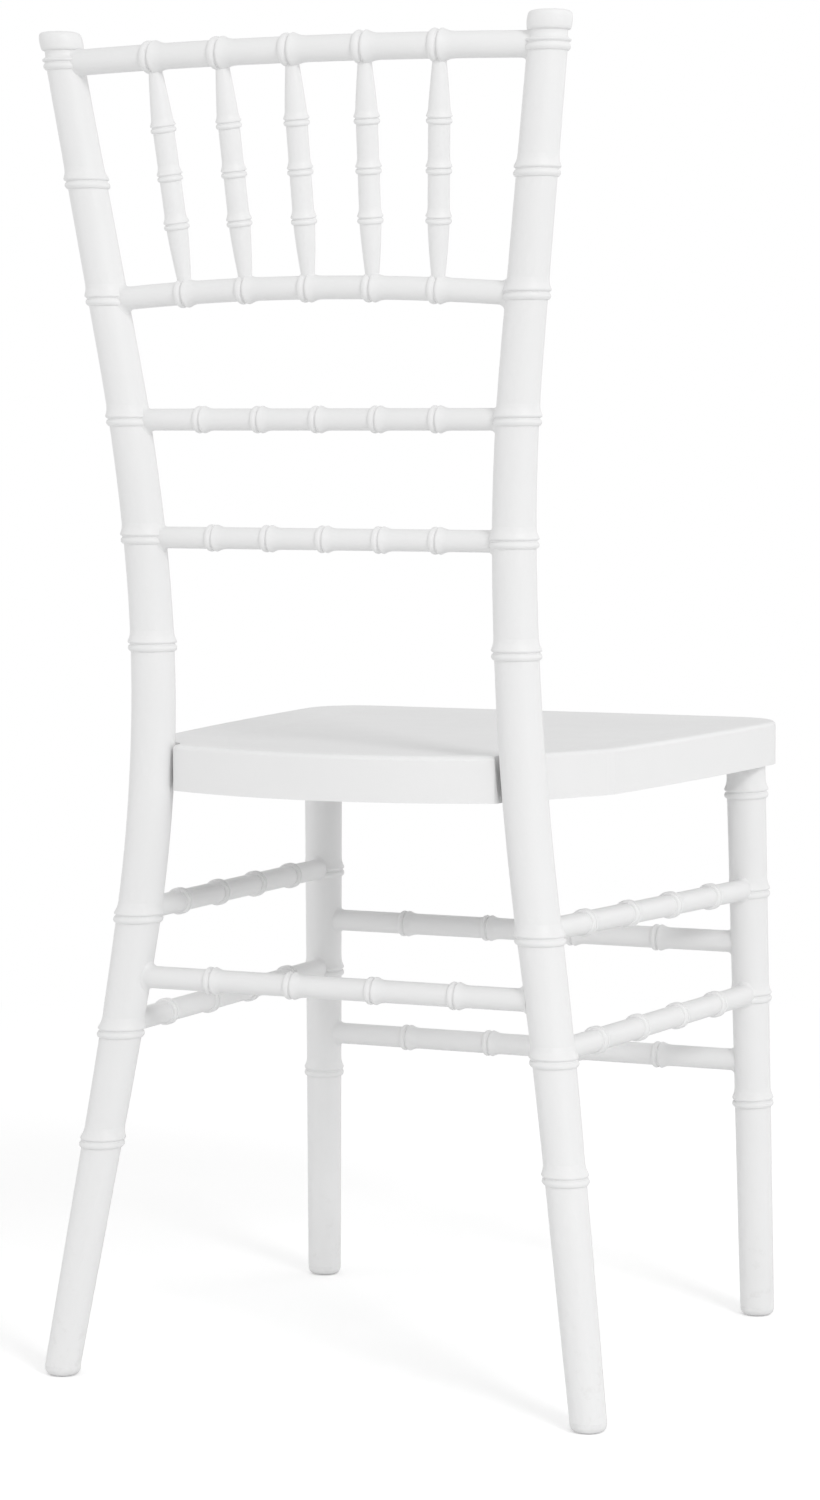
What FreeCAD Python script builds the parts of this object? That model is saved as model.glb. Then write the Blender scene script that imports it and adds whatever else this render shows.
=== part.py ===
import FreeCAD, Part
import math
import os

V = FreeCAD.Vector
UP = V(0, 0, 1)

# White moulded-resin chiavari chair, all sizes in millimetres.
# +X is the sitter's left, the sitter faces -Y, +Z is up from the floor,
# and the origin lies on the floor under the middle of the chair.

# Overall
HEIGHT = 923.1
SEAT_TOP = 443.0
SEAT_RIM = 31.5
SEAT_FALL = 0.005

# Rear posts: two straight runs joined by a long bend, once across and once in depth.
POST_BEND_X = (513.5, 121.8, 0.1385, -0.149, 193.0)
POST_BEND_Y = (377.5, 146.1, 0.1187, -0.1046, 189.0)
POST_RADIUS_TOP = 13.1
POST_RADIUS_SEAT = 15.5
POST_RADIUS_FOOT = 12.5
POST_THICK_FROM = 321.5
POST_THICK_TO = 421.5
POST_NODES = (902.6, 823.6, 745.3, 664.1, 583.9, 510.2, 321.7, 241.3, 164.5)
POST_STEP = 22.0

# Front legs: straight, a little splayed to the sides and to the front.
LEG_FOOT_X = 178.7
LEG_FOOT_Y = -198.5
LEG_SPLAY_X = 0.0162
LEG_SPLAY_Y = 0.0357
LEG_RADIUS_TOP = 14.4
LEG_RADIUS_FOOT = 12.6
LEG_NODES = (391.9, 318.6, 240.7, 162.3)

# Bamboo nodes: how far a node of size one reaches below and above its groove
NODE_BELOW = 4.9
NODE_ABOVE = 9.5

# Modelling steps: gap between a node and the next ring, bodies run past a face, tolerances
RING_GAP = 3.0
OVERRUN = 10.0
SEW_TOLERANCE = 0.01
ON_CORE_TOLERANCE = 0.05
EDGE_SAMPLES = 7
HALVINGS = 40

# Finial and neck on top of each rear post, measured up from the highest node
FINIAL_TOP = HEIGHT - POST_NODES[0]
FINIAL_BASE = 7.9
FINIAL_RADIUS = 14.7
NECK_RADIUS = 12.3

# Back rails: height at the middle, height at the posts, depth at the middle and radius
CREST_MID = V(0, 221.3, 904.0)
CREST_END_Z = 902.0
CREST_RADIUS = 8.7
CREST_NODE_PITCH = 52.0
CREST_NODE_SIZE = 1.2
SPINDLE_RAIL_MID = V(0, 195.5, 750.3)
SPINDLE_RAIL_END_Z = 744.0
SPINDLE_RAIL_RADIUS = 7.8
SPINDLE_RAIL_NODE_PITCH = 46.3
SPINDLE_RAIL_NODE_SIZE = 1.05
LADDER_RADIUS = 7.4
LADDER_NODES = 5
LADDER_UPPER_Z = 663.5
LADDER_UPPER_PITCH = 43.5
LADDER_LOWER_Z = 583.5
LADDER_LOWER_PITCH = 41.5

# Spindles between crest rail and spindle rail
SPINDLE_COUNT = 5
SPINDLE_RADIUS = 7.2
SPINDLE_TAPER_RADIUS = 6.2
SPINDLE_END_RADIUS = 4.3
SPINDLE_NODE_PITCH = 32.3
SPINDLE_NODE_SIZE = 0.75

# Stretchers
REAR_STRETCHER_Z = 279.0
REAR_STRETCHER_RADIUS = 7.7
REAR_STRETCHER_PITCH = 61.0
FRONT_STRETCHER_UPPER_Z = 279.5
FRONT_STRETCHER_LOWER_Z = 191.0
FRONT_STRETCHER_RADIUS = 8.0
FRONT_STRETCHER_PITCH = 68.8
SIDE_STRETCHER_RADIUS = 7.7
SIDE_STRETCHER_REAR_Z = {"upper": 325.0, "lower": 245.5}
SIDE_STRETCHER_FRONT_Z = {"upper": 319.5, "lower": 241.5}
STRETCHER_NODES = 4
STRETCHER_NODE_SIZE = 0.95

# Seat, a skirted shell that is notched round the rear posts
SEAT_FRONT_Y = -233.0
SEAT_FRONT_HALF = 190.0
SEAT_CORNER_RADIUS = 42.0
SEAT_SIDE_CORNER_RADIUS = 28.0
SEAT_SIDE_MID_HALF = 182.5
SEAT_SIDE_MID_Y = -62.0
SEAT_SIDE_REAR_HALF = 168.5
SEAT_SIDE_REAR_Y = 73.0
SEAT_REAR_CORNER = V(120.0, 163.0, 0)
SEAT_REAR_MID_Y = 190.0
SEAT_WALL = 3.5
SEAT_PLATE = 4.0
SEAT_EDGE_ROUND = 3.0
SEAT_DISH_DEPTH = 2.2
SEAT_DISH_MARGIN = 9.0
SEAT_DISH_SLOPE = 30.0
SEAT_RIB = 2.6
SEAT_RIB_DEPTH = 16.0
SEAT_RIB_PITCH = 62.0
NOTCH_CLEARANCE = 3.2
SEAT_BOTTOM = SEAT_TOP - SEAT_RIM
SEAT_UNDER = SEAT_TOP - SEAT_DISH_DEPTH - SEAT_PLATE

# Joints: tenons moulded on the rail ends, seated in sockets of posts, legs and rails
RAIL_TENON_RADIUS = 4.8
RAIL_TENON_DEPTH = 8.5
RAIL_TENON_ROOT = 12.0
RAIL_STATIONS = 60
SPINDLE_TENON_RADIUS = 3.0
SPINDLE_TENON_DEPTH = 4.5
LEG_TENON_RADIUS = 10.5
LEG_BOSS_RADIUS = 14.1
LEG_TENON_TOP = SEAT_UNDER - 1.5

# Hollow round where a rail meets a post or leg; it grows out of a core just inside the member
BLEND = 4.0
BLEND_WIDE = 5.0
BLEND_CREST = 4.0
BLEND_CORE_SHARE = 0.98
BLEND_CORE_INSET = 0.1
BLEND_CORE_REACH = 15.0

# Steel cores moulded into posts and legs
CORE_RADIUS = 4.0
POST_CORE_FROM = 60.0
POST_CORE_TO = 690.0
POST_CORE_SPANS = 14
LEG_CORE_FROM = 60.0
LEG_CORE_TO = 400.0

# Seat bolts and their threaded brass inserts
BOLT_RADIUS = 3.0
BOLT_LENGTH = 17.0
BOLT_HEAD_RADIUS = 5.2
BOLT_HEAD_HEIGHT = 3.6
BOLT_SOCKET_FLATS = 4.0
BOLT_HOLE_CLEARANCE = 0.3
BOLT_PAD_RADIUS = 7.5
BOLT_Z = SEAT_TOP - 18.5
BOLT_REAR_SEAT = 25.0
BOLT_FRONT_SEAT = 19.5
INSERT_RADIUS = 4.2
INSERT_LENGTH = 8.0
INSERT_RECESS = 1.0

# Foot glides: capped plugs under posts and legs
GLIDE_RADIUS = 12.5
GLIDE_HEIGHT = 7.0
GLIDE_SOLE_RADIUS = 7.5
GLIDE_EDGE = GLIDE_RADIUS - GLIDE_SOLE_RADIUS
GLIDE_STEM_RADIUS = 5.0
GLIDE_STEM_LENGTH = 14.0


def slanted(shape, centre, travel):
    """Shape built on the Z axis, its axis slanted along travel while its rings stay level."""
    slant = FreeCAD.Matrix(
        1, 0, travel.x, centre.x,
        0, 1, travel.y, centre.y,
        0, 0, 1, centre.z,
        0, 0, 0, 1,
    )
    return shape.transformGeometry(slant)


def along(shape, centre, direction):
    """Turn a shape built on the Z axis so that its axis runs along direction through centre."""
    moved = shape.copy()
    moved.Placement = FreeCAD.Placement(centre, FreeCAD.Rotation(UP, direction))
    return moved


def unit(vector):
    """The same direction with length one."""
    return V(vector).normalize()


def bent_line(z, corner_z, corner, slope_up, slope_down, reach):
    """Two straight runs that would meet at the corner, joined by a parabola."""
    over = z - corner_z
    if over >= reach:
        return corner + slope_up * over
    if over <= -reach:
        return corner + slope_down * over
    return corner + slope_up * over + (slope_up - slope_down) * (over - reach) ** 2 / (4 * reach)


def post_centre(side, z):
    """Centre of a rear post at height z."""
    return V(side * bent_line(z, *POST_BEND_X), bent_line(z, *POST_BEND_Y), z)


def post_travel(side, z):
    """Way the centre of a rear post goes at height z while the height grows by one."""
    return (post_centre(side, z + 1) - post_centre(side, z - 1)) * 0.5


def post_direction(side, z):
    """Upward direction of a rear post at height z."""
    return unit(post_travel(side, z))


def post_radius(z):
    """Radius of a rear post between its nodes: thickest at the seat."""
    if z > POST_THICK_TO:
        part = (z - POST_THICK_TO) / (POST_NODES[0] - POST_THICK_TO)
        return POST_RADIUS_SEAT + part * (POST_RADIUS_TOP - POST_RADIUS_SEAT)
    if z < POST_THICK_FROM:
        part = z / POST_THICK_FROM
        return POST_RADIUS_FOOT + part * (POST_RADIUS_SEAT - POST_RADIUS_FOOT)
    return POST_RADIUS_SEAT


def leg_centre(side, z):
    """Centre of a front leg at height z."""
    return V(side * (LEG_FOOT_X - LEG_SPLAY_X * z), LEG_FOOT_Y + LEG_SPLAY_Y * z, z)


def leg_direction(side):
    """Upward direction of a front leg."""
    return unit(V(-side * LEG_SPLAY_X, LEG_SPLAY_Y, 1))


def leg_radius(z):
    """Radius of a front leg between its nodes."""
    return LEG_RADIUS_FOOT + (LEG_RADIUS_TOP - LEG_RADIUS_FOOT) * z / SEAT_BOTTOM


def revolved(edges):
    """Solid of revolution about Z from edges in the XZ plane that close on themselves."""
    face = Part.Face(Part.Wire(edges))
    return face.revolve(V(0, 0, 0), UP, 360)


def profile(points):
    """Closed edges: straight through two-number points, arcs where a point carries a middle one."""
    corners = [V(point[0], 0, point[1]) for point in points]
    edges = []
    for index, point in enumerate(points):
        start = corners[index - 1]
        end = corners[index]
        if len(point) == 4:
            middle = V(point[2], 0, point[3])
            edges.append(Part.Arc(start, middle, end).toShape())
        else:
            edges.append(Part.LineSegment(start, end).toShape())
    return edges


def node_outline(radius, size, position):
    """Outline of a bamboo node, upwards: sharp step, bead, narrow groove, lip and long flare."""
    def at(out, rise):
        return (radius + size * out, position + size * rise)

    return [
        at(0, -NODE_BELOW),
        at(0.9, -4.75),
        at(1.3, -0.85) + at(1.95, -2.7),
        at(1.4, 0.75) + at(0.52, -0.1),
        at(1.75, 2.4) + at(1.9, 1.5),
        at(0, NODE_ABOVE) + at(0.55, 5.4),
    ]


def turned_skin(outline):
    """Skin of revolution about Z from an open outline."""
    edges = profile(outline)[1:]
    return Part.Wire(edges).revolve(V(0, 0, 0), UP, 360)


def cylinder(centre, direction, radius, length):
    """Cylinder that starts at centre and runs along direction."""
    return along(Part.makeCylinder(radius, length), centre, direction)


def ring_wire(centre, direction, radius):
    """Circle round a centre, square to direction."""
    return along(Part.Wire([Part.Circle(V(0, 0, 0), UP, radius).toShape()]), centre, direction)


def square_ring(frame):
    """Circle at a frame, square to its axis."""
    return ring_wire(*frame)


def level_ring(frame):
    """Level circle at a frame whose axis may lean."""
    centre, _, radius = frame
    return ring_wire(centre, UP, radius)


def sewn(skins):
    """Closed solid from skins that meet edge to edge."""
    compound = Part.makeCompound([face for skin in skins for face in skin.Faces])
    compound.sewShape(SEW_TOLERANCE)
    solid = Part.makeSolid(compound.Shells[0])
    if solid.Volume < 0:
        solid.reverse()
    return solid


def jointed_bar(first, last, frame, stations, nodes, level=False, end_skin=None):
    """Bent round bar with bamboo nodes, from the first frame to the last.

    frame gives centre, way of the axis and radius at a position; nodes pairs a position with a size.
    level keeps every ring level on a leaning bar. end_skin closes the bar in place of a flat end.
    """
    ring = level_ring if level else square_ring
    placed = slanted if level else along
    skins = [Part.Face(ring(first))]
    lower = first
    passed = stations[0]
    for position, size in nodes:
        centre, way, radius = frame(position)
        upper = (centre - way * NODE_BELOW * size, way, radius)
        node_start = position - NODE_BELOW * size
        between = [frame(t) for t in stations if passed < t < node_start - RING_GAP]
        skins.append(Part.makeLoft([ring(f) for f in [lower] + between + [upper]], False, False))
        skins.append(placed(turned_skin(node_outline(radius, size, 0)), centre, way))
        lower = (centre + way * NODE_ABOVE * size, way, radius)
        passed = position + NODE_ABOVE * size + RING_GAP
    between = [frame(t) for t in stations[:-1] if t > passed]
    skins.append(Part.makeLoft([ring(f) for f in [lower] + between + [last]], False, False))
    skins.append(end_skin or Part.Face(ring(last)))
    return sewn(skins)


def finial_skin(radius):
    """Skin of the highest node, neck and cap on the Z axis, with the groove of the node at the origin."""
    node = node_outline(radius, 1.0, 0)
    base = FINIAL_BASE
    wide = FINIAL_RADIUS
    return turned_skin(node[:5] + [
        (NECK_RADIUS, base - 2.3, NECK_RADIUS + 0.6, base - 4.4),
        (NECK_RADIUS, base),
        (wide - 0.3, base + 2.0, wide - 0.9, base + 0.5),
        (wide - 0.2, FINIAL_TOP - 4.0, wide, base + 6.3),
        (wide - 4.0, FINIAL_TOP - 0.2, wide - 1.3, FINIAL_TOP - 1.2),
        (0, FINIAL_TOP),
    ])


def rear_post(side):
    """Rear post as moulded, before its sockets: bent bar, nodes and finial."""
    def frame(z):
        return post_centre(side, z), post_travel(side, z), post_radius(z)

    top, way, radius = frame(POST_NODES[0])
    stations = [POST_STEP * k for k in range(-1, int(POST_NODES[0] / POST_STEP))]
    nodes = [(z, 1.0) for z in reversed(POST_NODES[1:])]
    last = (top - way * NODE_BELOW, way, radius)
    cap = slanted(finial_skin(radius), top, way)
    bar = jointed_bar(frame(stations[0]), last, frame, stations + [POST_NODES[0]], nodes, True, cap)
    return bar.cut(below(GLIDE_HEIGHT))


def front_leg(side):
    """Front leg as moulded, before its sockets: tapered bar, nodes and the tenon into the seat."""
    bottom = SEAT_BOTTOM
    foot = leg_centre(side, 0)
    direction = leg_direction(side)
    scale = (leg_centre(side, bottom) - foot).Length / bottom
    outline = [(0, -20), (leg_radius(-20), -20)]
    for z in reversed(LEG_NODES):
        outline += node_outline(leg_radius(z), 1.0, z * scale)
    outline += [(leg_radius(bottom), bottom + OVERRUN), (0, bottom + OVERRUN)]
    bar = along(revolved(profile(outline)), foot, direction)
    bar = bar.cut(below(GLIDE_HEIGHT)).cut(above(bottom))
    length = LEG_TENON_TOP - bottom + OVERRUN
    return bar.fuse(cylinder(leg_centre(side, bottom - OVERRUN), direction, LEG_TENON_RADIUS, length))


def below(z):
    """Everything under height z."""
    return Part.makeBox(600, 700, 200, V(-300, -350, z - 200))


def above(z):
    """Everything over height z, up to well clear of the seat."""
    return Part.makeBox(600, 700, 200, V(-300, -350, z))


def bowed_rail(arc, radius, node_x, node_size):
    """Rail along an arc, with nodes where the arc crosses the given X positions."""
    first = arc.FirstParameter
    total = arc.length()
    scale = (arc.LastParameter - first) / total

    def frame(distance):
        value = first + distance * scale
        return arc.value(value), V(*arc.tangent(value)[0]), radius

    stations = [total * k / RAIL_STATIONS for k in range(RAIL_STATIONS + 1)]
    nodes = []
    for x in reversed(node_x):
        value = arc.parameter(point_at_x(arc, x))
        nodes.append(((value - first) / scale, node_size))
    return jointed_bar(frame(0.0), frame(total), frame, stations, nodes)


def point_at_x(arc, x):
    """Point of an arc at the given X, found by halving."""
    low = arc.FirstParameter
    high = arc.LastParameter
    rising = arc.value(high).x > arc.value(low).x
    for _ in range(HALVINGS):
        middle = (low + high) / 2
        if (arc.value(middle).x < x) == rising:
            low = middle
        else:
            high = middle
    return arc.value((low + high) / 2)


def straight_rail(start, end, radius, node_distances, node_size):
    """Straight rail between two post axes, with nodes at distances from start."""
    length = (end - start).Length
    outline = [(0, 0), (radius, 0)]
    for distance in node_distances:
        outline += node_outline(radius, node_size, distance)
    outline += [(radius, length), (0, length)]
    return along(revolved(profile(outline)), start, end - start)


def lies_on(edge, point, direction, radius):
    """True for an edge, other than a line or circle, that lies on the cylinder round an axis."""
    if edge.Curve.TypeId in ("Part::GeomLine", "Part::GeomCircle"):
        return False
    step = (edge.LastParameter - edge.FirstParameter) / (EDGE_SAMPLES - 1)
    samples = [edge.valueAt(edge.FirstParameter + step * k) for k in range(EDGE_SAMPLES)]
    distances = [(sample - point).cross(direction).Length for sample in samples]
    return all(abs(distance - radius) < ON_CORE_TOLERANCE for distance in distances)


def blended(rail, point, direction, member_radius, blend):
    """Rail with a hollow round at the post or leg whose axis runs through point."""
    radius = BLEND_CORE_SHARE * member_radius - BLEND_CORE_INSET
    core = cylinder(point - direction * BLEND_CORE_REACH, direction, radius, 2 * BLEND_CORE_REACH)
    joined = rail.fuse(core)
    corner = [edge for edge in joined.Edges if lies_on(edge, point, direction, radius)]
    return joined.makeFillet(blend, corner)


def largest(shape):
    """Largest solid of a shape, free of the slivers that a cut can leave."""
    return max(shape.Solids, key=lambda solid: solid.Volume)


def spread(pitch, count):
    """Evenly spaced positions about zero."""
    return [pitch * (k - (count - 1) / 2) for k in range(count)]


def cross_rail(z, radius, pitch, count, node_size, centre):
    """Straight rail across the chair between a left and a right member."""
    start = centre(1, z)
    end = centre(-1, z)
    half = start.x
    distances = [half + x for x in spread(pitch, count)]
    return straight_rail(start, end, radius, distances, node_size)


def tenon(axis_point, inward):
    """Round tenon that starts in the rail and ends in the post; inward points into the post."""
    root = V(axis_point) - inward * RAIL_TENON_ROOT
    return cylinder(root, inward, RAIL_TENON_RADIUS, RAIL_TENON_ROOT + RAIL_TENON_DEPTH)


def spindle_ends(number):
    """Centres of the crest rail and the spindle rail where a spindle joins them."""
    top = point_at_x(crest_arc(), number * CREST_NODE_PITCH)
    bottom = point_at_x(spindle_rail_arc(), number * SPINDLE_RAIL_NODE_PITCH)
    return bottom, top


def spindle(number):
    """Tapered spindle with its nodes, from rail centre to rail centre."""
    bottom, top = spindle_ends(number)
    length = (top - bottom).Length
    low_end = SPINDLE_RAIL_RADIUS - 2
    high_end = length - CREST_RADIUS + 2
    node_places = [length / 2 + d for d in spread(SPINDLE_NODE_PITCH, 3)]
    low_bulge = (low_end + node_places[0]) / 2
    high_bulge = (high_end + node_places[-1]) / 2
    first_node = node_places[0] - NODE_BELOW * SPINDLE_NODE_SIZE
    outline = [
        (0, low_end),
        (SPINDLE_END_RADIUS, low_end),
        (SPINDLE_RADIUS, first_node, SPINDLE_TAPER_RADIUS, low_bulge),
    ]
    for place in node_places:
        node = node_outline(SPINDLE_RADIUS, SPINDLE_NODE_SIZE, place)
        outline += node if place > node_places[0] else node[1:]
    outline += [(SPINDLE_END_RADIUS, high_end, SPINDLE_TAPER_RADIUS, high_bulge), (0, high_end)]
    return along(revolved(profile(outline)), bottom, top - bottom)


def spindle_tenons(number):
    """Tenon at each end of a spindle."""
    bottom, top = spindle_ends(number)
    up = unit(top - bottom)
    low = bottom + up * (SPINDLE_RAIL_RADIUS - SPINDLE_TENON_DEPTH)
    high = top - up * (CREST_RADIUS - SPINDLE_TENON_DEPTH)
    reach = SPINDLE_TENON_DEPTH + 6
    return [
        cylinder(low, up, SPINDLE_TENON_RADIUS, reach),
        cylinder(high, -up, SPINDLE_TENON_RADIUS, reach),
    ]


def crest_arc():
    """Centre line of the crest rail: bowed to the rear and slightly arched."""
    left = post_centre(1, CREST_END_Z)
    right = post_centre(-1, CREST_END_Z)
    return Part.Arc(left, CREST_MID, right)


def spindle_rail_arc():
    """Centre line of the rail under the spindles: arched, and bowed to the rear."""
    left = post_centre(1, SPINDLE_RAIL_END_Z)
    right = post_centre(-1, SPINDLE_RAIL_END_Z)
    return Part.Arc(left, SPINDLE_RAIL_MID, right)


def rail_end_tenons(left, right, middle, surface):
    """Tenons at both ends of a rail that runs between the left and right axis points."""
    tenons = []
    for end in (left, right):
        inward = unit(end - middle)
        tenons.append(tenon(end - inward * surface, inward))
    return tenons


def seat_outline():
    """Plan of the seat at Z zero, before the notches."""
    half = SEAT_FRONT_HALF
    front = SEAT_FRONT_Y
    corner = SEAT_CORNER_RADIUS
    diagonal = corner * (1 - math.sqrt(0.5))
    rear = SEAT_REAR_CORNER
    right_side = [
        Part.LineSegment(V(-rear.x, rear.y, 0), V(-SEAT_SIDE_REAR_HALF, SEAT_SIDE_REAR_Y, 0)),
        Part.Arc(V(-SEAT_SIDE_REAR_HALF, SEAT_SIDE_REAR_Y, 0), V(-SEAT_SIDE_MID_HALF, SEAT_SIDE_MID_Y, 0),
                 V(-half, front + corner, 0)),
        Part.Arc(V(-half, front + corner, 0), V(-half + diagonal, front + diagonal, 0),
                 V(-half + corner, front, 0)),
    ]
    front_edge = [Part.LineSegment(V(-half + corner, front, 0), V(half - corner, front, 0))]
    left_side = [
        Part.Arc(V(half - corner, front, 0), V(half - diagonal, front + diagonal, 0),
                 V(half, front + corner, 0)),
        Part.Arc(V(half, front + corner, 0), V(SEAT_SIDE_MID_HALF, SEAT_SIDE_MID_Y, 0),
                 V(SEAT_SIDE_REAR_HALF, SEAT_SIDE_REAR_Y, 0)),
        Part.LineSegment(V(SEAT_SIDE_REAR_HALF, SEAT_SIDE_REAR_Y, 0), V(rear.x, rear.y, 0)),
    ]
    rear_edge = [Part.Arc(V(rear.x, rear.y, 0), V(0, SEAT_REAR_MID_Y, 0), V(-rear.x, rear.y, 0))]
    curves = right_side + front_edge + left_side + rear_edge
    return Part.Wire([curve.toShape() for curve in curves])


def plate(outline, low, high):
    """Outline raised into a plate between two heights."""
    face = Part.Face(outline)
    face.translate(V(0, 0, low))
    return face.extrude(V(0, 0, high - low))


def inset(outline, distance):
    """Outline drawn in by a distance, round corners kept."""
    return outline.makeOffset2D(-distance)


def notch(side, extra):
    """Cylinder round a rear post at the seat, wider than the post by extra."""
    middle = SEAT_TOP - SEAT_RIM / 2
    direction = post_direction(side, middle)
    start = post_centre(side, middle) - direction * SEAT_RIM
    return cylinder(start, direction, POST_RADIUS_SEAT + extra, 2 * SEAT_RIM)


def seat_dish(outline):
    """Shallow hollow in the top of the seat with sloping edges."""
    rim = inset(outline, SEAT_DISH_MARGIN)
    floor = inset(outline, SEAT_DISH_MARGIN + SEAT_DISH_SLOPE)
    rim.translate(V(0, 0, SEAT_TOP + 0.2))
    floor.translate(V(0, 0, SEAT_TOP - SEAT_DISH_DEPTH))
    return Part.makeLoft([floor, rim], True, True)


def seat_ribs(outline):
    """Grid of ribs under the seat plate."""
    top = SEAT_UNDER + 0.5
    bottom = top - SEAT_RIB_DEPTH
    bars = []
    for x in spread(SEAT_RIB_PITCH, 5):
        bars.append(Part.makeBox(SEAT_RIB, 460, top - bottom, V(x - SEAT_RIB / 2, -240, bottom)))
    for y in spread(SEAT_RIB_PITCH, 6):
        bars.append(Part.makeBox(400, SEAT_RIB, top - bottom, V(-200, y - 20 - SEAT_RIB / 2, bottom)))
    grid = bars[0].multiFuse(bars[1:])
    return grid.common(plate(inset(outline, SEAT_WALL - 1), bottom, top))


def bolt_axes():
    """Axis point on each post or leg, and the direction from there to the bolt head."""
    axes = []
    for side in (1, -1):
        post = post_centre(side, BOLT_Z)
        axes.append((post, unit(V(-side, -1, 0)), BOLT_REAR_SEAT, POST_RADIUS_SEAT))
        leg = leg_centre(side, BOLT_Z)
        axes.append((leg, unit(V(-side, 1, 0)), BOLT_FRONT_SEAT, LEG_TENON_RADIUS))
    return axes


def seat(posts):
    """Seat shell with skirt, dish, ribs, leg bosses, post notches and bolt pads."""
    outline = seat_outline()
    bottom = SEAT_BOTTOM
    block = plate(outline, bottom, SEAT_TOP)
    upright = [edge for edge in block.Edges if edge.BoundBox.YLength < 0.01 and edge.BoundBox.ZLength > 1]
    side_corners = [edge for edge in upright if abs(edge.BoundBox.YMin - SEAT_SIDE_REAR_Y) < 0.01]
    block = block.makeFillet(SEAT_SIDE_CORNER_RADIUS, side_corners)
    upper = [edge for edge in block.Edges if edge.BoundBox.ZMin > SEAT_TOP - 0.01]
    block = block.makeFillet(SEAT_EDGE_ROUND, upper)
    block = block.cut(seat_dish(outline))
    hollow = plate(inset(outline, SEAT_WALL), bottom - 1, SEAT_UNDER)
    for side in (1, -1):
        hollow = hollow.cut(notch(side, NOTCH_CLEARANCE + SEAT_WALL))
    shell = block.cut(hollow).fuse(seat_ribs(outline))
    shell.rotate(V(0, SEAT_FRONT_Y, SEAT_TOP), V(1, 0, 0), -math.degrees(math.atan(SEAT_FALL)))
    additions = []
    removals = [notch(side, NOTCH_CLEARANCE) for side in (1, -1)]
    for side in (1, -1):
        start = leg_centre(side, bottom - OVERRUN)
        direction = leg_direction(side)
        boss = cylinder(start, direction, LEG_BOSS_RADIUS, SEAT_RIM - SEAT_PLATE + 1 + OVERRUN)
        additions.append(boss.cut(below(bottom)))
        removals.append(cylinder(start, direction, LEG_TENON_RADIUS, LEG_TENON_TOP - bottom + OVERRUN))
    for piece in additions:
        shell = shell.fuse(piece)
    for piece in removals:
        shell = shell.cut(piece)
    pads = []
    holes = []
    for point, towards_head, seat_distance, member_radius in bolt_axes():
        start = member_radius - 1
        pad_root = point + towards_head * start
        head_seat = point + towards_head * seat_distance
        pads.append(cylinder(pad_root, towards_head, BOLT_PAD_RADIUS, seat_distance - start))
        holes.append(cylinder(point, towards_head, BOLT_RADIUS + BOLT_HOLE_CLEARANCE, seat_distance + 1))
        holes.append(cylinder(head_seat, towards_head, BOLT_HEAD_RADIUS + 1, BOLT_HEAD_HEIGHT + 8))
    members = [posts["left"], posts["right"]] + removals[2:]
    for pad in pads:
        shell = shell.fuse(pad.cut(members))
    for hole in holes:
        shell = shell.cut(hole)
    return shell


def seat_bolt():
    """Button-head bolt on the Z axis, head seat at the origin, shank downwards, hexagon socket."""
    head = revolved(profile((
        (0, 0),
        (BOLT_HEAD_RADIUS, 0),
        (BOLT_HEAD_RADIUS, 0.8),
        (2.8, BOLT_HEAD_HEIGHT, BOLT_HEAD_RADIUS - 0.9, BOLT_HEAD_HEIGHT - 1.0),
        (0, BOLT_HEAD_HEIGHT),
    )))
    shank = Part.makeCylinder(BOLT_RADIUS, BOLT_LENGTH, V(0, 0, -BOLT_LENGTH))
    corner = BOLT_SOCKET_FLATS / math.sqrt(3)
    angles = [math.radians(60 * k) for k in range(7)]
    hexagon = Part.makePolygon([V(corner * math.cos(angle), corner * math.sin(angle), 0) for angle in angles])
    socket = Part.Face(hexagon).extrude(V(0, 0, BOLT_HEAD_HEIGHT))
    socket.translate(V(0, 0, 1.2))
    return head.fuse(shank).cut(socket)


def threaded_insert():
    """Brass bush on the Z axis, open at the origin and running downwards, with a knurled waist."""
    half = INSERT_LENGTH / 2
    return revolved(profile((
        (BOLT_RADIUS, 0),
        (BOLT_RADIUS, -INSERT_LENGTH),
        (INSERT_RADIUS, -INSERT_LENGTH),
        (INSERT_RADIUS, -half - 0.8),
        (INSERT_RADIUS - 0.5, -half - 0.8),
        (INSERT_RADIUS - 0.5, -half + 0.8),
        (INSERT_RADIUS, -half + 0.8),
        (INSERT_RADIUS, 0),
    )))


def bolts_and_inserts():
    """The four seat bolts and the four inserts, each as one group of separate solids."""
    bolts = []
    inserts = []
    for point, towards_head, seat_distance, member_radius in bolt_axes():
        bolts.append(along(seat_bolt(), point + towards_head * seat_distance, towards_head))
        mouth = point + towards_head * (member_radius - INSERT_RECESS)
        inserts.append(along(threaded_insert(), mouth, towards_head))
    return Part.makeCompound(bolts), Part.makeCompound(inserts)


def insert_bores():
    """Bores for the inserts, open to the outside of the post or leg."""
    bores = []
    for point, towards_head, _, member_radius in bolt_axes():
        bottom = point + towards_head * (member_radius - INSERT_RECESS - INSERT_LENGTH)
        bores.append(cylinder(bottom, towards_head, INSERT_RADIUS, INSERT_LENGTH + 6))
    return bores


def foot_glide(centre):
    """Glide under a foot: flat sole, rounded edge, and a stem pushed up into the foot."""
    round_off = GLIDE_EDGE * (1 - math.sqrt(0.5))
    cap = revolved(profile((
        (0, 0),
        (GLIDE_SOLE_RADIUS, 0),
        (GLIDE_RADIUS, GLIDE_EDGE, GLIDE_RADIUS - round_off, round_off),
        (GLIDE_RADIUS, GLIDE_HEIGHT),
        (0, GLIDE_HEIGHT),
    )))
    cap.translate(V(centre.x, centre.y, 0))
    return cap


def glide_stem(centre, direction):
    """Stem of a glide, along the leg."""
    start = centre - direction * 3
    return cylinder(start, direction, GLIDE_STEM_RADIUS, GLIDE_STEM_LENGTH + 3)


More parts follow.
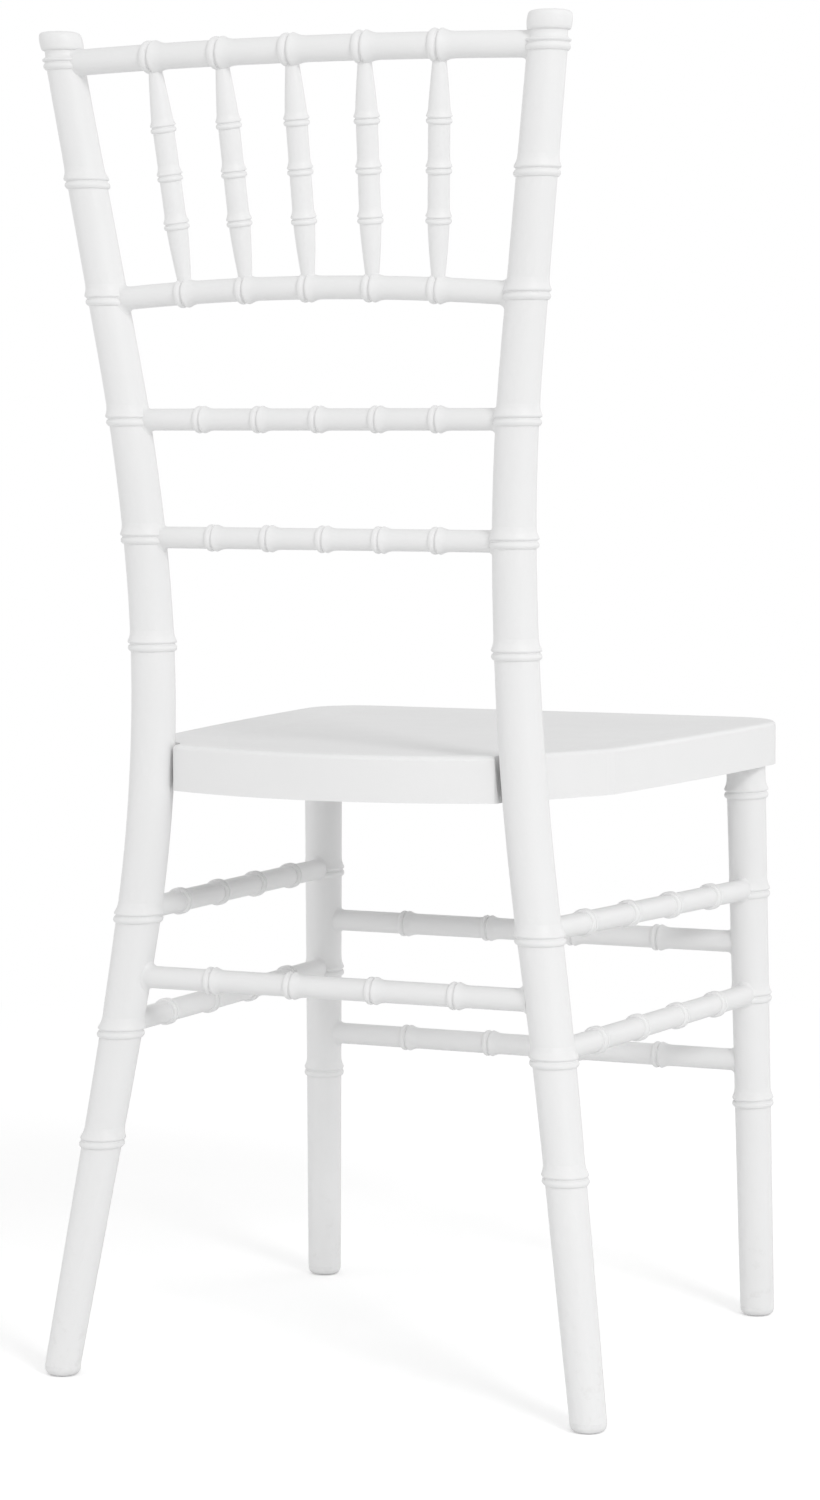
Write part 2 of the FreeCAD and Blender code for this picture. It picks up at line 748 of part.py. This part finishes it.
def post_core(side):
    """Steel rod that follows the bend of a rear post."""
    step = (POST_CORE_TO - POST_CORE_FROM) / POST_CORE_SPANS
    heights = [POST_CORE_FROM + step * k for k in range(POST_CORE_SPANS + 1)]
    wires = [ring_wire(post_centre(side, z), post_direction(side, z), CORE_RADIUS) for z in heights]
    return Part.makeLoft(wires, True, False)


def leg_core(side):
    """Straight steel rod in a front leg."""
    start = leg_centre(side, LEG_CORE_FROM)
    return cylinder(start, leg_direction(side), CORE_RADIUS, LEG_CORE_TO - LEG_CORE_FROM)


def build():
    """All nodes of the chair by name."""
    sides = {"left": 1, "right": -1}
    posts = {name: rear_post(side) for name, side in sides.items()}
    legs = {name: front_leg(side) for name, side in sides.items()}
    nodes = {}
    sockets = {"rear_post_left": [], "rear_post_right": [], "front_leg_left": [], "front_leg_right": []}

    def add_cross_rail(name, rail, tenons, members, kind):
        """Cope a rail to its left and right members, add its tenons and note their sockets."""
        body = largest(rail.cut(members["left"]).cut(members["right"]))
        nodes[name] = body.multiFuse(tenons)
        sockets[kind + "_left"].append(tenons[0])
        sockets[kind + "_right"].append(tenons[1])

    spindle_surface = post_radius(SPINDLE_RAIL_END_Z)
    bowed = {
        "crest_rail": (
            crest_arc(), CREST_RADIUS, NECK_RADIUS, CREST_NODE_PITCH, CREST_NODE_SIZE, BLEND_CREST,
        ),
        "spindle_rail": (
            spindle_rail_arc(), SPINDLE_RAIL_RADIUS, spindle_surface, SPINDLE_RAIL_NODE_PITCH,
            SPINDLE_RAIL_NODE_SIZE, BLEND_WIDE,
        ),
    }
    for name, (arc, radius, surface, pitch, size, blend) in bowed.items():
        rail = bowed_rail(arc, radius, spread(pitch, SPINDLE_COUNT), size)
        ends = []
        for side, parameter in ((1, arc.FirstParameter), (-1, arc.LastParameter)):
            end = arc.value(parameter)
            inward = unit(V(*arc.tangent(parameter)[0]) * -side)
            ends.append(tenon(end - inward * surface, inward))
            rail = blended(rail, end, post_direction(side, end.z), surface, blend)
        add_cross_rail(name, rail, ends, posts, "rear_post")

    cross_rails = {
        "ladder_rail_upper": (
            LADDER_UPPER_Z, LADDER_RADIUS, LADDER_UPPER_PITCH, LADDER_NODES, BLEND, "rear_post",
        ),
        "ladder_rail_lower": (
            LADDER_LOWER_Z, LADDER_RADIUS, LADDER_LOWER_PITCH, LADDER_NODES, BLEND, "rear_post",
        ),
        "rear_stretcher": (
            REAR_STRETCHER_Z, REAR_STRETCHER_RADIUS, REAR_STRETCHER_PITCH, STRETCHER_NODES, BLEND_WIDE,
            "rear_post",
        ),
        "front_stretcher_upper": (
            FRONT_STRETCHER_UPPER_Z, FRONT_STRETCHER_RADIUS, FRONT_STRETCHER_PITCH, STRETCHER_NODES, BLEND,
            "front_leg",
        ),
        "front_stretcher_lower": (
            FRONT_STRETCHER_LOWER_Z, FRONT_STRETCHER_RADIUS, FRONT_STRETCHER_PITCH, STRETCHER_NODES, BLEND,
            "front_leg",
        ),
    }
    for name, (z, radius, pitch, count, blend, kind) in cross_rails.items():
        rear = kind == "rear_post"
        centre = post_centre if rear else leg_centre
        surface = post_radius(z) if rear else leg_radius(z)
        members = posts if rear else legs
        rail = cross_rail(z, radius, pitch, count, STRETCHER_NODE_SIZE, centre)
        for side in (1, -1):
            direction = post_direction(side, z) if rear else leg_direction(side)
            rail = blended(rail, centre(side, z), direction, surface, blend)
        ends = rail_end_tenons(centre(1, z), centre(-1, z), V(0, centre(1, z).y, z), surface)
        add_cross_rail(name, rail, ends, members, kind)

    for name, side in sides.items():
        for level, rear_z in SIDE_STRETCHER_REAR_Z.items():
            front_z = SIDE_STRETCHER_FRONT_Z[level]
            rear = post_centre(side, rear_z)
            front = leg_centre(side, front_z)
            pitch = (front - rear).Length / (STRETCHER_NODES + 1)
            distances = [pitch * (k + 1) for k in range(STRETCHER_NODES)]
            bar = straight_rail(rear, front, SIDE_STRETCHER_RADIUS, distances, STRETCHER_NODE_SIZE)
            bar = blended(bar, rear, post_direction(side, rear_z), post_radius(rear_z), BLEND)
            bar = blended(bar, front, leg_direction(side), leg_radius(front_z), BLEND)
            to_rear = unit(rear - front)
            rear_tenon = tenon(rear - to_rear * post_radius(rear_z), to_rear)
            front_tenon = tenon(front + to_rear * leg_radius(front_z), -to_rear)
            body = largest(bar.cut(posts[name]).cut(legs[name]))
            nodes["side_stretcher_" + name + "_" + level] = body.multiFuse([rear_tenon, front_tenon])
            sockets["rear_post_" + name].append(rear_tenon)
            sockets["front_leg_" + name].append(front_tenon)

    middle = (SPINDLE_COUNT - 1) // 2
    for k in range(SPINDLE_COUNT):
        number = middle - k
        tenons = spindle_tenons(number)
        body = spindle(number).cut(nodes["crest_rail"]).cut(nodes["spindle_rail"])
        nodes["spindle_%d" % (k + 1)] = body.multiFuse(tenons)
        nodes["spindle_rail"] = nodes["spindle_rail"].cut(tenons[0])
        nodes["crest_rail"] = nodes["crest_rail"].cut(tenons[1])

    seat_bolts, seat_inserts = bolts_and_inserts()
    nodes["seat"] = seat(posts)
    nodes["seat_bolts"] = seat_bolts
    nodes["threaded_inserts"] = seat_inserts
    bores = insert_bores()

    for index, (name, side) in enumerate(sides.items()):
        rear_foot = post_centre(side, GLIDE_HEIGHT)
        front_foot = leg_centre(side, GLIDE_HEIGHT)
        rear_stem = glide_stem(rear_foot, post_direction(side, GLIDE_HEIGHT))
        front_stem = glide_stem(front_foot, leg_direction(side))
        nodes["foot_glide_rear_" + name] = foot_glide(rear_foot).fuse(rear_stem)
        nodes["foot_glide_front_" + name] = foot_glide(front_foot).fuse(front_stem)
        nodes["steel_core_post_" + name] = post_core(side)
        nodes["steel_core_leg_" + name] = leg_core(side)
        post_cuts = sockets["rear_post_" + name] + [post_core(side), rear_stem, bores[2 * index]]
        leg_cuts = sockets["front_leg_" + name] + [leg_core(side), front_stem, bores[2 * index + 1]]
        nodes["rear_post_" + name] = posts[name].cut(post_cuts)
        nodes["front_leg_" + name] = legs[name].cut(leg_cuts)
    return nodes


os.makedirs("parts", exist_ok=True)
for node_name, node_shape in build().items():
    solids = len(node_shape.Solids)
    facts = (node_name, solids, node_shape.isValid(), node_shape.Volume)
    print("%-28s solids %d valid %s volume %.0f" % facts)
    node_shape.exportStep("parts/%s.step" % node_name)
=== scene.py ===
import math

import bpy
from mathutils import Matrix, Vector

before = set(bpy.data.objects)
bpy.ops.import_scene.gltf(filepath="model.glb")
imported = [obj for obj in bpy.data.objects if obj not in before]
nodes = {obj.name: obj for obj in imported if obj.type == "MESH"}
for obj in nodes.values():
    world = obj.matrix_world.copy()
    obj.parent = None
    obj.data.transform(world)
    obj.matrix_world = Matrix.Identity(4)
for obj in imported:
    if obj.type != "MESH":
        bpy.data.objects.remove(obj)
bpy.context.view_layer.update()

# Camera: behind the chair and to the sitter's right, read from the photo's own lines.
CAMERA_PLACE = (-1.181, 2.635, 0.6575)
CAMERA_AZIMUTH = math.radians(24.42)
CAMERA_PITCH = math.radians(4.51)
CAMERA_LENS = 97.82
SENSOR_HEIGHT = 36.0

# Soft square lights: name, place, width in metres and power in watts. All look at LIT_POINT.
LIT_POINT = (0, 0, 0.4)
LIGHTS = (
    ("key", (-3.4, 2.7, 2.9), 1.2, 68.0),
    ("low", (-3.4, 2.4, 0.9), 2.0, 7.5),
    ("left", (3.6, 2.0, 1.2), 2.0, 18.0),
    ("front", (-2.2, -3.4, 1.6), 2.0, 12.0),
)

# White surround, and the floor that takes the shadow near the chair and turns into the surround further out.
SURROUND_SEEN = 1.0
SURROUND_LIT = 0.75
FLOOR_TONE = 0.9
FLOOR_LIFT = 0.24
FLOOR_BOUNCE = 0.78
FLOOR_CLEAR_FROM = 0.6
FLOOR_CLEAR_TO = 1.8

# White resin: tones, roughness, and the scuffs that fade out over the lowest part of the legs.
RESIN_TONES = (0.80, 0.82)
RESIN_ROUGHNESS = (0.42, 0.55)
RESIN_STREAKS = (260.0, 260.0, 14.0)
SCUFF_FROM = 0.02
SCUFF_TO = 0.11
SCUFF_COLOUR = (0.60, 0.59, 0.57)
SCUFF_STRENGTH = 0.18
GLIDE_TONES = (0.76, 0.82)
METAL_STREAK = 0.8


def new_material(name):
    """Material with a principled shader, and shortcuts to its node tree."""
    material = bpy.data.materials.new(name)
    material.use_nodes = True
    tree = material.node_tree
    tree.nodes.clear()
    output = tree.nodes.new("ShaderNodeOutputMaterial")
    shader = tree.nodes.new("ShaderNodeBsdfPrincipled")
    tree.links.new(shader.outputs["BSDF"], output.inputs["Surface"])
    return material, tree, shader


def noise(tree, place, scale, detail=3.0, rough=0.5):
    """Noise texture over object coordinates."""
    node = tree.nodes.new("ShaderNodeTexNoise")
    node.inputs["Scale"].default_value = scale
    node.inputs["Detail"].default_value = detail
    node.inputs["Roughness"].default_value = rough
    tree.links.new(place, node.inputs["Vector"])
    return node.outputs["Fac"]


def ramp(tree, value, stops):
    """Colour ramp with the given (position, colour) stops."""
    node = tree.nodes.new("ShaderNodeValToRGB")
    elements = node.color_ramp.elements
    for index, (position, colour) in enumerate(stops):
        element = elements[index] if index < 2 else elements.new(position)
        element.position = position
        element.color = (*colour, 1.0)
    tree.links.new(value, node.inputs["Fac"])
    return node.outputs["Color"]


def level(tree, value, low, high, out_low, out_high):
    """Value mapped from one range to another."""
    node = tree.nodes.new("ShaderNodeMapRange")
    for name, number in (("From Min", low), ("From Max", high), ("To Min", out_low), ("To Max", out_high)):
        node.inputs[name].default_value = number
    tree.links.new(value, node.inputs["Value"])
    return node.outputs["Result"]


def object_place(tree):
    """Place on the piece, in the frame's own metres."""
    return tree.nodes.new("ShaderNodeTexCoord").outputs["Object"]


def bump(tree, height, strength, distance):
    """Normal roughened by a height."""
    node = tree.nodes.new("ShaderNodeBump")
    node.inputs["Strength"].default_value = strength
    node.inputs["Distance"].default_value = distance
    tree.links.new(height, node.inputs["Height"])
    return node.outputs["Normal"]


def product(tree, first, second):
    """Two values multiplied; the second may be a number."""
    node = tree.nodes.new("ShaderNodeMath")
    node.operation = "MULTIPLY"
    tree.links.new(first, node.inputs[0])
    if isinstance(second, float):
        node.inputs[1].default_value = second
    else:
        tree.links.new(second, node.inputs[1])
    return node.outputs["Value"]


def total(tree, first, second):
    """Two values added."""
    node = tree.nodes.new("ShaderNodeMath")
    node.operation = "ADD"
    tree.links.new(first, node.inputs[0])
    tree.links.new(second, node.inputs[1])
    return node.outputs["Value"]


def grey(tone):
    """Neutral colour of a tone."""
    return (tone, tone, tone)


def mixed(tree, share, colour, other):
    """Linked colour blended towards a plain one."""
    node = tree.nodes.new("ShaderNodeMixRGB")
    node.inputs["Color2"].default_value = (*other, 1.0)
    tree.links.new(share, node.inputs["Fac"])
    tree.links.new(colour, node.inputs["Color1"])
    return node.outputs["Color"]


def stretched(tree, place, scale):
    """Coordinates scaled by axis, for streaks."""
    node = tree.nodes.new("ShaderNodeVectorMath")
    node.operation = "MULTIPLY"
    node.inputs[1].default_value = scale
    tree.links.new(place, node.inputs[0])
    return node.outputs["Vector"]


def height_over_floor(tree, place):
    """Height of a place over the floor."""
    node = tree.nodes.new("ShaderNodeSeparateXYZ")
    tree.links.new(place, node.inputs["Vector"])
    return node.outputs["Z"]


def white_resin():
    """Moulded white resin: faint mottling, orange peel, rubbed streaks, and scuffs low on the legs."""
    material, tree, shader = new_material("white_resin")
    place = object_place(tree)
    height = height_over_floor(tree, place)

    mottle = noise(tree, place, 9.0, 4.0)
    clean = ramp(tree, mottle, ((0.3, grey(RESIN_TONES[0])), (0.7, grey(RESIN_TONES[1]))))
    near_floor = level(tree, height, SCUFF_FROM, SCUFF_TO, 1.0, 0.0)
    spots = level(tree, noise(tree, place, 120.0, 6.0, 0.65), 0.55, 0.66, 0.0, 1.0)
    scuffs = product(tree, near_floor, spots)
    colour = mixed(tree, product(tree, scuffs, SCUFF_STRENGTH), clean, SCUFF_COLOUR)
    tree.links.new(colour, shader.inputs["Base Color"])

    smudge = level(tree, noise(tree, place, 38.0, 5.0, 0.6), 0.3, 0.7, *RESIN_ROUGHNESS)
    streaks = noise(tree, stretched(tree, place, RESIN_STREAKS), 1.0, 4.0)
    rubbed = level(tree, streaks, 0.5, 0.75, 0.0, 0.06)
    dulled = total(tree, total(tree, smudge, rubbed), product(tree, scuffs, 0.15))
    tree.links.new(dulled, shader.inputs["Roughness"])

    peel = noise(tree, place, 420.0, 2.0)
    relief = total(tree, peel, product(tree, scuffs, -0.8))
    tree.links.new(bump(tree, relief, 0.08, 0.0004), shader.inputs["Normal"])
    shader.inputs["Specular IOR Level"].default_value = 0.45
    return material


def plain_metal(name, colour, roughness):
    """Metal with fine drawn streaks."""
    material, tree, shader = new_material(name)
    place = object_place(tree)
    streak = noise(tree, place, 260.0, 3.0)
    darker = tuple(part * METAL_STREAK for part in colour)
    tree.links.new(ramp(tree, streak, ((0.3, darker), (0.7, colour))), shader.inputs["Base Color"])
    tree.links.new(level(tree, streak, 0.3, 0.7, roughness, roughness + 0.15), shader.inputs["Roughness"])
    tree.links.new(bump(tree, streak, 0.1, 0.0002), shader.inputs["Normal"])
    shader.inputs["Metallic"].default_value = 1.0
    return material


def matt_glide():
    """Matt floor glide with scuffs."""
    material, tree, shader = new_material("matt_glide")
    place = object_place(tree)
    scuff = noise(tree, place, 160.0, 5.0, 0.7)
    colour = ramp(tree, scuff, ((0.35, grey(GLIDE_TONES[0])), (0.65, grey(GLIDE_TONES[1]))))
    tree.links.new(colour, shader.inputs["Base Color"])
    tree.links.new(level(tree, scuff, 0.3, 0.7, 0.5, 0.7), shader.inputs["Roughness"])
    tree.links.new(bump(tree, scuff, 0.15, 0.0004), shader.inputs["Normal"])
    return material


RESIN = white_resin()
GLIDE = matt_glide()
STEEL = plain_metal("drawn_steel", (0.5, 0.5, 0.51), 0.4)
ZINC = plain_metal("zinc_plated", (0.62, 0.62, 0.64), 0.25)
BRASS = plain_metal("brass", (0.78, 0.6, 0.3), 0.3)

for name, node in nodes.items():
    if name.startswith("foot_glide"):
        chosen = GLIDE
    elif name.startswith("steel_core"):
        chosen = STEEL
    elif name == "seat_bolts":
        chosen = ZINC
    elif name == "threaded_inserts":
        chosen = BRASS
    else:
        chosen = RESIN
    node.data.materials.clear()
    node.data.materials.append(chosen)


def studio_floor():
    """White floor: it takes the chair's shadow near by and runs into the white surround further out.

    The lift brightens the near part for the camera. The bounce is the light that the far part sends to the
    chair.
    """
    bpy.ops.mesh.primitive_plane_add(size=80.0, location=(0, 0, 0))
    floor = bpy.context.object
    floor.name = "floor"
    material, tree, shader = new_material("white_floor")
    output = tree.nodes["Material Output"]
    shader.inputs["Base Color"].default_value = (*grey(FLOOR_TONE), 1.0)
    shader.inputs["Roughness"].default_value = 0.95
    shader.inputs["Specular IOR Level"].default_value = 0.1
    seen = tree.nodes.new("ShaderNodeLightPath").outputs["Is Camera Ray"]
    glow = tree.nodes.new("ShaderNodeEmission")
    tree.links.new(level(tree, seen, 0.0, 1.0, 0.0, FLOOR_LIFT), glow.inputs["Strength"])
    near = tree.nodes.new("ShaderNodeAddShader")
    tree.links.new(shader.outputs["BSDF"], near.inputs[0])
    tree.links.new(glow.outputs["Emission"], near.inputs[1])
    far = tree.nodes.new("ShaderNodeEmission")
    tree.links.new(level(tree, seen, 0.0, 1.0, FLOOR_BOUNCE, SURROUND_SEEN), far.inputs["Strength"])
    reach = tree.nodes.new("ShaderNodeVectorMath")
    reach.operation = "LENGTH"
    tree.links.new(object_place(tree), reach.inputs[0])
    blend = tree.nodes.new("ShaderNodeMixShader")
    cleared = level(tree, reach.outputs["Value"], FLOOR_CLEAR_FROM, FLOOR_CLEAR_TO, 0.0, 1.0)
    tree.links.new(cleared, blend.inputs["Fac"])
    tree.links.new(near.outputs["Shader"], blend.inputs[1])
    tree.links.new(far.outputs["Emission"], blend.inputs[2])
    tree.links.new(blend.outputs["Shader"], output.inputs["Surface"])
    floor.data.materials.append(material)


def studio_world():
    """White surround: one strength where the camera sees it, another where it lights the chair."""
    world = bpy.data.worlds.new("studio")
    bpy.context.scene.world = world
    world.use_nodes = True
    tree = world.node_tree
    background = tree.nodes["Background"]
    background.inputs["Color"].default_value = (1.0, 1.0, 1.0, 1.0)
    path = tree.nodes.new("ShaderNodeLightPath")
    strength = level(tree, path.outputs["Is Camera Ray"], 0.0, 1.0, SURROUND_LIT, SURROUND_SEEN)
    tree.links.new(strength, background.inputs["Strength"])


def area_light(name, place, size, power):
    """Soft square light that looks at the lit point."""
    data = bpy.data.lights.new(name, "AREA")
    data.shape = "SQUARE"
    data.size = size
    data.energy = power
    lamp = bpy.data.objects.new(name, data)
    bpy.context.scene.collection.objects.link(lamp)
    lamp.location = place
    lamp.rotation_euler = (Vector(LIT_POINT) - Vector(place)).to_track_quat("-Z", "Y").to_euler()


studio_floor()
studio_world()
for light in LIGHTS:
    area_light(*light)

camera_data = bpy.data.cameras.new("camera")
camera_data.sensor_fit = "VERTICAL"
camera_data.sensor_height = SENSOR_HEIGHT
camera_data.lens = CAMERA_LENS
camera_data.clip_end = 100.0
camera = bpy.data.objects.new("camera", camera_data)
bpy.context.scene.collection.objects.link(camera)
camera.location = CAMERA_PLACE
forward = Vector((
    math.sin(CAMERA_AZIMUTH) * math.cos(CAMERA_PITCH),
    -math.cos(CAMERA_AZIMUTH) * math.cos(CAMERA_PITCH),
    -math.sin(CAMERA_PITCH),
))
camera.rotation_euler = forward.to_track_quat("-Z", "Y").to_euler()
bpy.context.scene.camera = camera
bpy.context.scene.view_settings.view_transform = "Standard"
